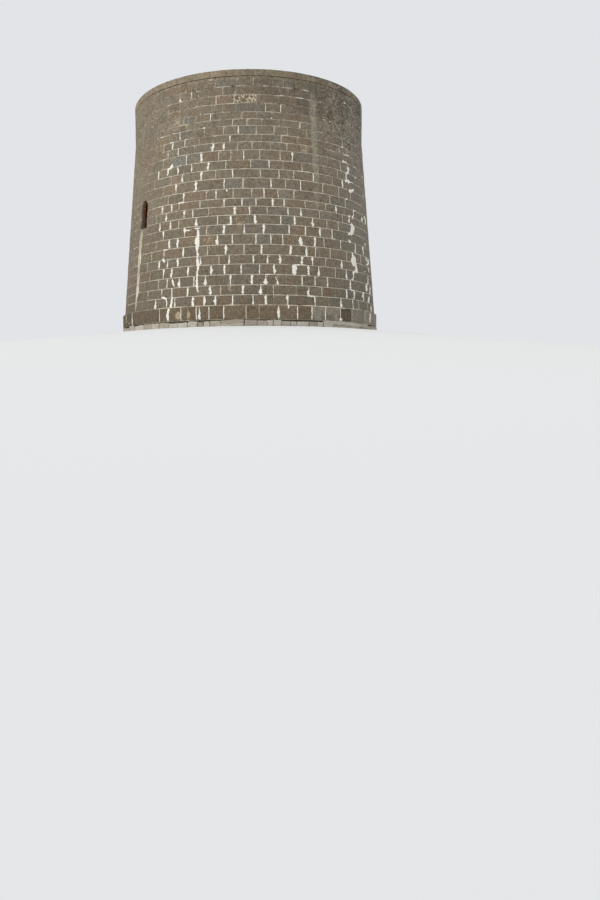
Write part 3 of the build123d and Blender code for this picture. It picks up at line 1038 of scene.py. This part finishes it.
def stones_of(course):
    """Each stone of a course: the angles of its joints, and its ends in the layout."""
    joints = courses[course]
    following = joints[1:] + [(joints[0][0] + 360, joints[0][1])]
    for (left, left_mark), (right, right_mark) in zip(joints, following):
        yield left, right, layout_x(left) + half_gap(left_mark), layout_x(right) - half_gap(right_mark)


bays = [new_mesh() for _ in range(12)]
for course in range(1, len(UPRIGHTS)):
    for left, right, start, end in stones_of(course):
        wall_stone(bays, course, left, right, start, end)
for bay, (bm, layer) in enumerate(bays, 1):
    raise_stones(bm, layer)
    for vert in bm.verts:
        if vert.co.z < -0.1 and BEDS[SLIT_SILL_BED - 1] < vert.co.y and bay in (1, 7):
            vert.co.z = SLIT_REVEAL_BACK - face_radius(vert.co.y)
    place_verts(bm, on_wall)
    finished(bm, f"ashlar_{bay}", ashlar)

# Plinth, footing, coping, parapet and platform

for quarter in range(4):
    bm, layer = new_mesh()
    for left, right, start, end in stones_of(0):
        turn_from_east = ((left + right) / 2 + degrees(FRONT) + 45) % 360
        if int(turn_from_east // 90) == quarter:
            block(bm, layer, (start, BEDS[0] + 0.006, -PLINTH_STONE_DEPTH),
                  (end, BEDS[1] + 0.002, chance.uniform(0.004, 0.012)), cuts=5)
    round_blocks(bm, layer, 0.010)
    roughen_blocks(bm, layer, 0.004)
    place_verts(bm, on_plinth)
    finished(bm, f"plinth_stones_{quarter + 1}", ashlar)

bm = spun([(6.380, 0.884), (6.498, 0.890), (6.392, 0.936)], 360)
for vert in bm.verts:
    vert.co.z += 0.010 * (noise.noise(vert.co * 2.5) + 0.7 * noise.noise(vert.co * 9))
    vert.co.xy *= 1 + 0.0006 * noise.noise(vert.co * 6 + Vector((3, 0, 0)))
finished(bm, "plinth_fillet", fillet_lime)


def footing_stones():
    """Rough stones under the plinth, and flat slabs where the photo shows them."""
    bm, layer = new_mesh()
    angle = -180.0
    while angle < 178:
        slabs = 44 < angle < 60 or chance.random() < 0.14
        length = chance.uniform(6.0, 9.5) if slabs else chance.uniform(1.7, 5.8)
        length = min(length, 180 - angle)
        left, right = layout_x(angle) + 0.012, layout_x(angle + length) - 0.012
        seam = chance.uniform(0.09, 0.17)
        levels = [0.0, seam, SLAB_TOP] if slabs else [0.0, chance.uniform(0.19, 0.282)]
        half = (right - left) / 2
        for low, high in zip(levels, levels[1:]):
            lean = Matrix.Rotation(chance.uniform(-0.05, 0.05), 4, "Z")
            block(bm, layer, (-half, low + 0.004, -FOOTING_STONE_DEPTH),
                  (half, high, -chance.uniform(0.010, 0.055)), cuts=5,
                  turn=Matrix.Translation(((left + right) / 2, 0, 0)) @ lean)
        angle += length
    round_blocks(bm, layer, 0.030, 2)
    roughen_blocks(bm, layer, 0.024, 6.5)
    for vert in bm.verts:
        vert.co.y = max(vert.co.y, 0.0)
        vert.co.z = min(vert.co.z, -0.002)
    place_verts(bm, on_footing)
    return finished(bm, "footing_stones", footing_stone)


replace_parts(footing_stones(), "footing_course")

room_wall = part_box("ground_floor")[1].x
bm = spun([(room_wall, 0.0), (6.455, 0.0), (6.445, 0.286), (room_wall, 0.286)], 240)
finished(bm, "footing_bed", packing)

for quarter in range(4):
    bm, layer = new_mesh()
    for low, high in ((BEDS[26] + 0.005, COPING_JOINT - COPING_GAP),
                      (COPING_JOINT + COPING_GAP, RIM - 0.013)):
        angle = quarter * 90 - 45 - degrees(FRONT)
        end = angle + 90
        while angle < end - 1:
            length = chance.uniform(8.0, 13.0)
            length = end - angle if end - angle - length < 6 else length
            block(bm, layer, (layout_x(angle) + JOINT / 3, low, PLATFORM_RADIUS - WALL_HEAD_RADIUS - 0.006),
                  (layout_x(angle + length) - JOINT / 3, high, chance.uniform(0.004, 0.011)), cuts=7)
            angle += length
    round_blocks(bm, layer, 0.010)
    roughen_blocks(bm, layer, 0.006, 4.0)
    for vert in bm.verts:
        vert.co.y = min(vert.co.y, RIM - 0.001)
    place_verts(bm, on_wall)
    coping_stones = finished(bm, f"coping_stones_{quarter + 1}", coping_stone)
    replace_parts(coping_stones, f"coping_{quarter + 1}")

inner, outer = PLATFORM_RADIUS + 0.012, WALL_HEAD_RADIUS - 0.005
bm = spun([(inner, BEDS[26]), (outer, BEDS[26]), (outer, RIM - 0.032), (inner, RIM - 0.032)], 240)
finished(bm, "coping_mortar", old_mortar)

bm, layer = new_mesh()
stretch = LAYOUT_RADIUS / PLATFORM_RADIUS
for low, high in zip(LINING_LEVELS, LINING_LEVELS[1:]):
    where = 0.0
    while where < FULL_TURN - 0.3:
        length = chance.uniform(0.55, 0.95) * stretch
        rest = FULL_TURN - where
        length = rest if rest - length < 0.4 * stretch else length
        grid_stone(bm, layer, where + JOINT * stretch / 2, where + length - JOINT * stretch / 2,
                   low + JOINT / 2, high - JOINT / 2, spacing=0.17)
        where += length
raise_stones(bm, layer)
place_verts(bm, in_parapet)
finished(bm, "parapet_lining", ashlar)

bm, layer = new_mesh()
for inner, outer in zip(FLAG_RINGS, FLAG_RINGS[1:]):
    stretch = LAYOUT_RADIUS / ((inner + outer) / 2)
    count = round(FULL_TURN / (0.72 * stretch))
    length = FULL_TURN / count
    start = chance.random() * 3
    for flag in range(count):
        left = start + flag * length + FLAG_GAP * stretch
        right = start + (flag + 1) * length - FLAG_GAP * stretch
        grid_stone(bm, layer, left, right, -outer + FLAG_GAP, -inner - FLAG_GAP, back=-0.004, spacing=0.19)
raise_stones(bm, layer, bevel=0.006, proud=0.008, roughness=0.002, lift=0.004)
place_verts(bm, on_deck)
made = bmesh.ops.create_circle(bm, cap_ends=True, segments=48, radius=0.34,
                               matrix=Matrix.Translation((0, 0, DECK)))
colour_verts(made["verts"], layer, random_stone())
disc = {f for v in made["verts"] for f in v.link_faces}
raised = bmesh.ops.extrude_face_region(bm, geom=list(disc))["geom"]
bmesh.ops.translate(bm, verts=only(BMVert, raised), vec=(0, 0, 0.014))
bevelled(bm, only(BMEdge, raised), 0.008)
finished(bm, "platform_flags", ashlar)

# Slits, doorway

def facing(bearing):
    """The upright frame square to a bearing: x to the right from outside, y up, z out from the axis."""
    out = Vector((cos(bearing), sin(bearing), 0))
    right = Vector((-sin(bearing), cos(bearing), 0))
    return Matrix((right, (0, 0, 1), out)).transposed()


BRICK_LENGTH = 0.214
BRICK_THICKNESS = 0.064
BRICK_ROWS = 13
WEDGE_BRICKS = 13
WEDGE_HALF_THICKNESS = 0.0285
MORTAR_HALF_WIDTH = 0.497


def ring_brick(bm, layer, low, high, near, far, turn=None):
    """One brick of a slit's ring, between two corners in the ring's plane, whose face is a little uneven."""
    block(bm, layer, (*low, near + 0.001), (*high, far - chance.uniform(0.001, 0.005)), cuts=1, turn=turn)


for side, centre in SLITS.items():
    low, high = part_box(f"{side}_slit_brick_ring")
    near, far = sorted((abs(low.x), abs(high.x)))
    upright = facing(FRONT + radians(centre))
    sill = low.z
    bm, layer = new_mesh()
    inner = SLIT_HALF_WIDTH - 0.008
    outer = inner + BRICK_LENGTH
    for row in range(BRICK_ROWS):
        bottom = sill + row * ((SLIT_SPRING - sill) / BRICK_ROWS) + 0.005
        lengths = [(inner, outer)] if row % 2 else [(inner, inner + 0.102), (inner + 0.112, outer)]
        for hand in (-1, 1):
            for start, end in lengths:
                left, right = sorted((hand * start, hand * end))
                ring_brick(bm, layer, (left, bottom), (right, bottom + BRICK_THICKNESS), near, far)
    for wedge in range(WEDGE_BRICKS):
        tilt = Matrix.Rotation(pi * (wedge + 0.5) / WEDGE_BRICKS, 4, "Z")
        ring_brick(bm, layer, (inner, -WEDGE_HALF_THICKNESS), (outer, WEDGE_HALF_THICKNESS), near, far,
                   Matrix.Translation((0, SLIT_SPRING, 0)) @ tilt)
    round_blocks(bm, layer, 0.004, 1)
    roughen_blocks(bm, layer, 0.0025, 20.0)
    bmesh.ops.rotate(bm, verts=bm.verts, matrix=upright)
    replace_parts(finished(bm, f"{side}_slit_bricks", brick), f"{side}_slit_brick_ring")

    bm, layer = new_mesh()
    inside, outside = SLIT_HALF_WIDTH, MORTAR_HALF_WIDTH
    turns = [radians(180 - 15 * step) for step in range(13)]
    outline = [(-outside, sill + 0.001), (-inside, sill + 0.001)]
    outline += [(inside * cos(t), SLIT_SPRING + inside * sin(t)) for t in turns]
    outline += [(inside, sill + 0.001), (outside, sill + 0.001)]
    outline += [(outside * cos(t), SLIT_SPRING + outside * sin(t)) for t in reversed(turns)]
    face = bm.faces.new([bm.verts.new((x, y, near + 0.006)) for x, y in outline])
    raised = bmesh.ops.extrude_face_region(bm, geom=[face])["geom"]
    bmesh.ops.translate(bm, verts=only(BMVert, raised), vec=(0, 0, far - near - 0.012))
    bmesh.ops.rotate(bm, verts=bm.verts, matrix=upright)
    finished(bm, f"{side}_slit_brick_mortar", mortar)

bm, layer = new_mesh()
low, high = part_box("door_threshold")
block(bm, layer, low, high, cuts=9)
round_blocks(bm, layer, 0.014)
WORN_HALF_WIDTH = 0.46
for vert in bm.verts:
    if vert.co.z > high.z - 0.03 and abs(vert.co.x) < WORN_HALF_WIDTH:
        vert.co.z -= 0.014 * (1 - (vert.co.x / WORN_HALF_WIDTH) ** 2)
roughen_blocks(bm, layer, 0.004)
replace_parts(finished(bm, "threshold_slab", ashlar), "door_threshold")

# Painted shade in the open joints, and a patch of small stones

# Dark strips along the open joints, as painted shade of their gaps.
OPEN_JOINTS = [(BEDS[25], -38, -36), (BEDS[25], -28.6, -15.6), (BEDS[25], -7.3, -6.3), (BEDS[25], 20, 24),
               (BEDS[25], 38, 42), (BEDS[23], 12.5, 14.5), (BEDS[23], 17, 21), (COPING_JOINT, -180, 180)]
bm, layer = new_mesh()
for level, start, end in OPEN_JOINTS:
    angle = start
    while angle < end - 0.5:
        length = min(chance.uniform(2, 7), end - angle)
        half = chance.uniform(0.012, 0.016)
        grid_stone(bm, layer, layout_x(angle), layout_x(angle + length), level - half, level + half,
                   back=-0.006)
        angle += length
raise_stones(bm, layer, bevel=0.001, proud=0.004, roughness=0.001, lift=0.002, wander=0.0)
place_verts(bm, on_wall)
finished(bm, "open_joints", joint_shadow)

bm, layer = new_mesh()
low, high = course_levels(RUBBLE_COURSE)
left, right = layout_x(RUBBLE[0]) + JOINT, layout_x(RUBBLE[1]) - JOINT
grid_stone(bm, layer, left, right, low, high, back=-0.012, stone=(0.0, 0.0, 0.0, 0.5))
raise_stones(bm, layer, bevel=0.002, proud=0.002, roughness=0.004)
ROWS, COLUMNS = 9, 23
for row in range(ROWS):
    for column in range(COLUMNS):
        across = (column + 0.5 + 0.5 * (row % 2) + chance.uniform(-0.25, 0.25)) / (COLUMNS + 0.5)
        up = (row + 0.5 + chance.uniform(-0.2, 0.2)) / ROWS
        middle = Vector((left + (right - left) * across, low + (high - low) * up,
                         chance.uniform(0.002, 0.008)))
        tilt = Matrix.Rotation(chance.uniform(-0.5, 0.5), 4, "Z")
        size = Matrix.Diagonal((chance.uniform(0.014, 0.028), chance.uniform(0.010, 0.020), 0.014, 1))
        made = bmesh.ops.create_icosphere(bm, subdivisions=2, radius=1,
                                          matrix=Matrix.Translation(middle) @ tilt @ size)
        bright = 0.48 + 0.4 * max(0, across + up - 1.1) + 1.5 * noise.noise(middle * 11)
        bright += chance.uniform(-0.15, 0.15)
        colour_verts(made["verts"], layer, (bright, chance.random(), 0.0, chance.random()))
roughen_blocks(bm, layer, 0.004, 18.0)
place_verts(bm, on_wall)
finished(bm, "rubble_patch", rubble)

# Lime that has run out of the joints

def along_path(path, share):
    """Point, width and sideways direction at a share of the way along a path of (x, y, width)."""
    steps = [hypot(b[0] - a[0], b[1] - a[1]) for a, b in zip(path, path[1:])]
    way = share * sum(steps)
    for a, b, step in zip(path, path[1:], steps):
        if way <= step or b is path[-1]:
            part = min(way / step, 1)
            eased = part * part * (3 - 2 * part)
            x, y = a[0] + (b[0] - a[0]) * part, a[1] + (b[1] - a[1]) * part
            return x, y, a[2] + (b[2] - a[2]) * eased, (b[1] - a[1]) / step, -(b[0] - a[0]) / step
        way -= step


def lime_run(bm, layer, path, ragged=0.8):
    """A strip of lime along a path, ragged at its sides and thin at its ends. It is pulled forward later."""
    length = sum(hypot(b[0] - a[0], b[1] - a[1]) for a, b in zip(path, path[1:]))
    broad = max(width for _, _, width in path) > 0.06
    made = bmesh.ops.create_grid(bm, x_segments=4 if broad else 2, y_segments=max(3, ceil(length / 0.034)),
                                 size=0.5)
    own = chance.random() * 100
    for vert in made["verts"]:
        across, share = vert.co.x * 2, vert.co.y + 0.5
        x, y, width, aside_x, aside_y = along_path(path, share)
        taper = min(1, share * 5 + 0.3, (1 - share) * 5 + 0.3)
        bite = noise.noise((x * 14, y * 14, own + across)) + 0.6 * noise.noise((x * 32, y * 32, own))
        reach = across * width / 2 * taper * (1.1 + ragged * min(1, 0.12 / width) * bite)
        drift = min(width, 0.15) * 0.25 * noise.noise((x * 6, y * 6, own + 50))
        vert.co = (x + aside_x * (reach + drift), y + aside_y * (reach + drift), -0.006)
        vert[layer] = (own / 100, chance.random(), 1 - across * across, 0.5)


def finish_lime(bm, layer, name, finish, thick):
    """Pulls strips of lime forward, thickest along their middle, and lays them on the wall."""
    made = bmesh.ops.extrude_face_region(bm, geom=bm.faces[:])["geom"]
    for vert in only(BMVert, made):
        x, y, _ = vert.co
        vert.co.z = 0.007 + vert[layer][2] * thick + 0.003 * noise.noise((x * 20, y * 20, 3))
    place_verts(bm, on_wall)
    bmesh.ops.recalc_face_normals(bm, faces=bm.faces)
    finished(bm, name, finish, sharp=60)


def read_runs(lines):
    """Runs in the flat layout, from their lines. Those near 50 degrees are broadest."""
    for line in lines.replace(",\n", ",").strip().split("\n"):
        points = [tuple(map(float, point.split())) for point in line.split(",")]
        yield [(layout_x(angle), height, width * (1.12 if 45 < angle < 57 else 0.84))
               for angle, height, width in points]


def turned(run, angle):
    """A copy of a run, farther round the tower."""
    return [(x + layout_x(angle), y, width) for x, y, width in run]


# Widths of the lime on an upright joint, from its foot to its head
WIDTHS = {
    "w": (0.055, 0.090, 0.070, 0.095, 0.050),
    "b": (0.085, 0.130, 0.085, 0.042, 0.034),
    "t": (0.028, 0.034, 0.050, 0.105, 0.075),
    "c": (0.036, 0.076, 0.104, 0.070, 0.034),
    "v": (0.038, 0.046, 0.040, 0.046, 0.034),
    "u": (0.050, 0.070, 0.040, 0.032, 0.027),
    "d": (0.026, 0.036, 0.030, 0.034, 0.026),
    "m": (0.026, 0.028, 0.026, 0.028, 0.026),
}
# The pieces of lime: name, finish and how thick the lime is in its middle
LIMES = {"patch": ("patching_mortar", patching, 0.016), "broad": ("lime_runs", fresh_lime, 0.012),
         "joint": ("lime_in_joints", mortar, 0.006), "dull": ("dull_lime_runs", dull_lime, 0.012),
         "wash": ("slit_washes", washed_lime, 0.005)}
limes = {kind: new_mesh() for kind in LIMES}
for course, words in enumerate(UPRIGHTS):
    extra = [(angle, mark.lower()) for angle, mark in read_joints(words) if mark.isupper()]
    for angle, mark in courses[course] + extra:
        if mark not in WIDTHS:
            continue
        kind = {"m": "joint", "d": "dull"}.get(mark, "broad")
        low, high = BEDS[course] + 0.01, BEDS[course + 1] - 0.01
        spread = 0.15 if abs(angle) < 75 else 0.45
        path = []
        for step, usual in enumerate(WIDTHS[mark]):
            width = usual * chance.uniform(1 - spread, 1 + spread)
            up = step / 4 + (chance.uniform(-0.09, 0.09) if 0 < step < 4 else 0)
            aside = chance.uniform(-0.2, 0.2) * min(width, 0.08)
            path.append((layout_x(angle) + aside, low + (high - low) * up, width))
        lime_run(*limes[kind], path, 0.3 if mark == "m" else 0.8)
for line, start, end, width in BED_RUNS:
    level = BEDS[line]
    lime_run(*limes["broad"], [(layout_x(start), level, width), (layout_x(end), level, width * 0.8)])
for run in read_runs(LONG_RUNS):
    start = run[0][0]
    lime_run(*limes["broad"], run, 1.9 if start > layout_x(57) else 1.3 if start > layout_x(45) else 0.8)
for run in read_runs(DULL_RUNS):
    lime_run(*limes["dull"], run, 1.9)
for run in read_runs(WASH):
    lime_run(*limes["wash"], run, 1.0)
    lime_run(*limes["wash"], turned(run, 180), 1.0)
for path in ([(-29.5, 0.36, 0.22), (-29.5, 0.50, 0.26), (-29.4, 0.64, 0.22), (-29.4, 0.71, 0.12)],
             [(-24.7, 0.38, 0.13), (-24.7, 0.55, 0.14), (-24.7, 0.70, 0.07)]):
    lime_run(*limes["patch"], [(layout_x(angle), height, width) for angle, height, width in path], 0.15)
for kind, (name, finish, thick) in LIMES.items():
    finish_lime(*limes[kind], name, finish, thick)

# Camera, light and floor

CAMERA_DISTANCE = 40.05
CAMERA_HEIGHT = -2.51
CAMERA_TURN = -0.086  # degrees aside from the tower's axis
CAMERA_TILT = 85  # degrees up from straight down
CAMERA_ROLL = -0.349
camera_data = bpy.data.cameras.new("camera")
camera_data.lens = 30.4
camera_data.shift_x = 0.0536
camera_data.clip_end = 400
camera = in_scene("camera", camera_data)
stand = Matrix.Translation((CAMERA_DISTANCE * cos(FRONT), CAMERA_DISTANCE * sin(FRONT), CAMERA_HEIGHT))
camera.matrix_world = (stand @ Matrix.Rotation(FRONT + radians(90 + CAMERA_TURN), 4, "Z")
                       @ Matrix.Rotation(radians(CAMERA_TILT), 4, "X")
                       @ Matrix.Rotation(radians(CAMERA_ROLL), 4, "Z"))
bpy.context.scene.camera = camera
bpy.context.scene.view_settings.view_transform = "Standard"

BACKDROP = srgb(226, 228, 232)


def floor_finish():
    finish = Finish("pale floor")
    x, y, _ = finish.parts(finish.place)
    far = finish.between(distance(x, y), 14, 60)
    seen = finish.node("ShaderNodeLightPath", output="Is Camera Ray")
    pale = finish.blend(srgb(190, 190, 188), srgb(232, 232, 230), seen)
    matt = finish.node("ShaderNodeBsdfDiffuse", inputs={"Color": pale})
    glow = finish.node("ShaderNodeEmission", inputs={"Color": BACKDROP, "Strength": 1.0})
    mixed = finish.node("ShaderNodeMixShader", inputs={0: far * seen, 1: matt, 2: glow})
    finish.node("ShaderNodeOutputMaterial", inputs={"Surface": mixed})
    return finish.material


# The floor falls away from the tower's foot, because the photo is taken from below it.
slope = [(0.0, -0.004), (6.60, -0.004), (6.9, -0.03), (9.0, -0.27), (16.0, -1.07), (40.0, -3.83),
         (150.0, -16.5)]
floor = mesh_object(spun(slope, 128, closed=False), "floor", floor_finish())

sun_data = bpy.data.lights.new("sun", "SUN")
sun_data.energy = 1.15
sun_data.angle = radians(45)
sun = in_scene("sun", sun_data)
sun_way = FRONT + radians(-50)
sun.rotation_euler = Vector((cos(sun_way), sin(sun_way), 0.75)).to_track_quat("Z", "Y").to_euler()

world = bpy.data.worlds.new("world")
bpy.context.scene.world = world
world.use_nodes = True
sky = Finish(tree=world.node_tree)
light_path = sky.node("ShaderNodeLightPath")
outputs = light_path.socket.node.outputs
seen = Value(sky, outputs["Is Camera Ray"])
seen = seen.maths("MAXIMUM", Value(sky, outputs["Is Glossy Ray"]))
seen = seen.maths("MAXIMUM", Value(sky, outputs["Is Transmission Ray"]))
fill = sky.node("ShaderNodeBackground", inputs={"Color": srgb(250, 252, 255), "Strength": 0.80})
shown = sky.node("ShaderNodeBackground", inputs={"Color": BACKDROP, "Strength": 1.0})
sky.node("ShaderNodeOutputWorld", inputs={"Surface": sky.node("ShaderNodeMixShader",
                                                              inputs={0: seen, 1: fill, 2: shown})})
